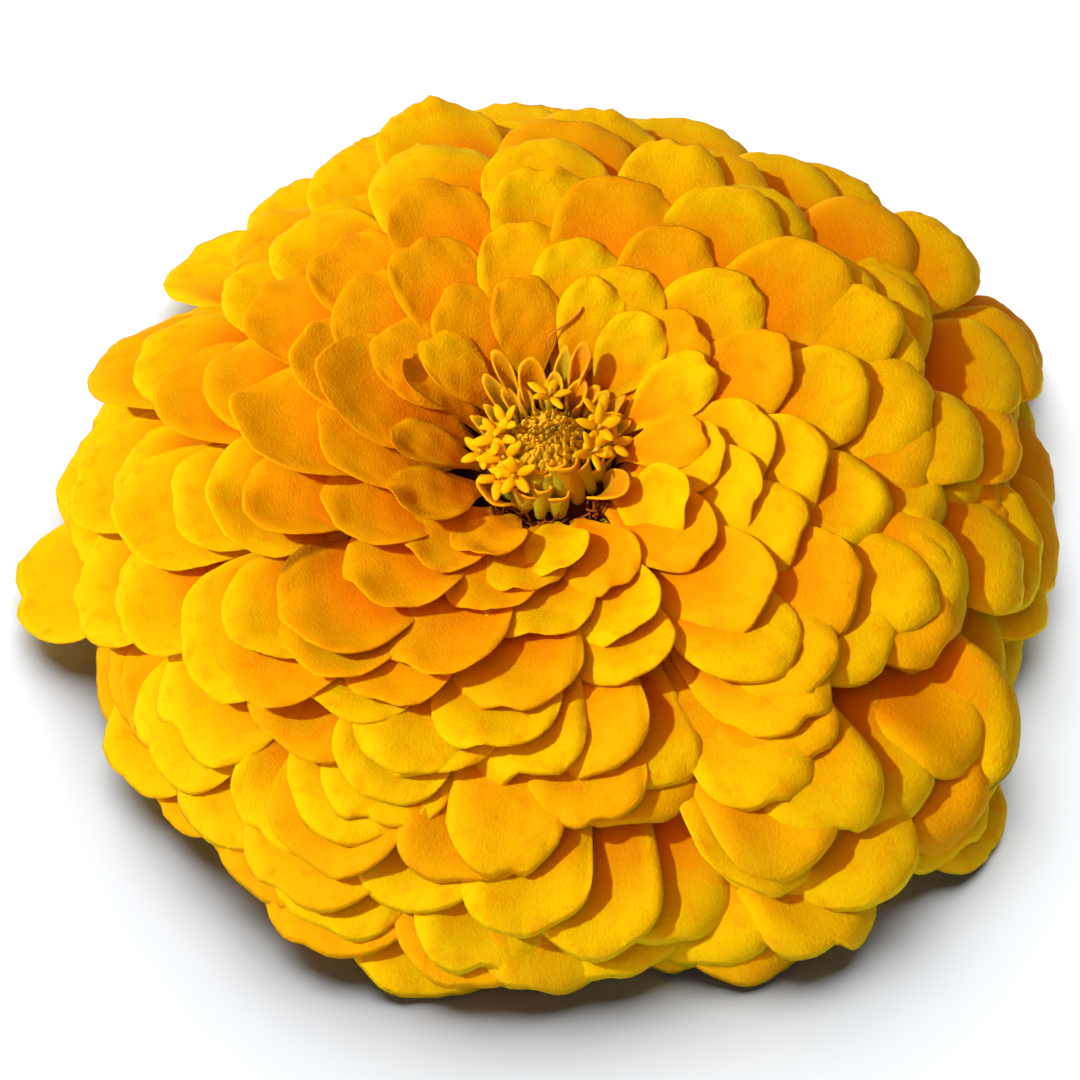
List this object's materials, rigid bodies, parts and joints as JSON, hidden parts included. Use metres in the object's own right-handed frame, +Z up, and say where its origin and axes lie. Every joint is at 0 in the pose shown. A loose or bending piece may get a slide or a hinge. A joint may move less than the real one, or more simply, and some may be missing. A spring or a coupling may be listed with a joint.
{
  "type": "zinnia flower head",
  "caption": "Double zinnia bloom, picked and set face up: a low dome of overlapping yellow petals round a small green disc, with a green involucre and cut stem below.",
  "frame": {"origin": "centre of the flat cut face of the stem, the lowest point of the bloom at rest", "axes": "+Z up through the middle of the bloom; -Y towards the side seen from the front"},
  "size_m": [0.1036, 0.1048, 0.0255],
  "materials": {
    "petal": "soft matt petal, golden yellow at the tips and orange towards the base",
    "floret": "matt, yellow-green buds with golden open florets",
    "bract": "matt leaf green with darker dry edges"
  },
  "bodies": {
    "root": {"ray_petals": "petal", "disc": "floret", "involucre": "bract"}
  },
  "joints": []
}
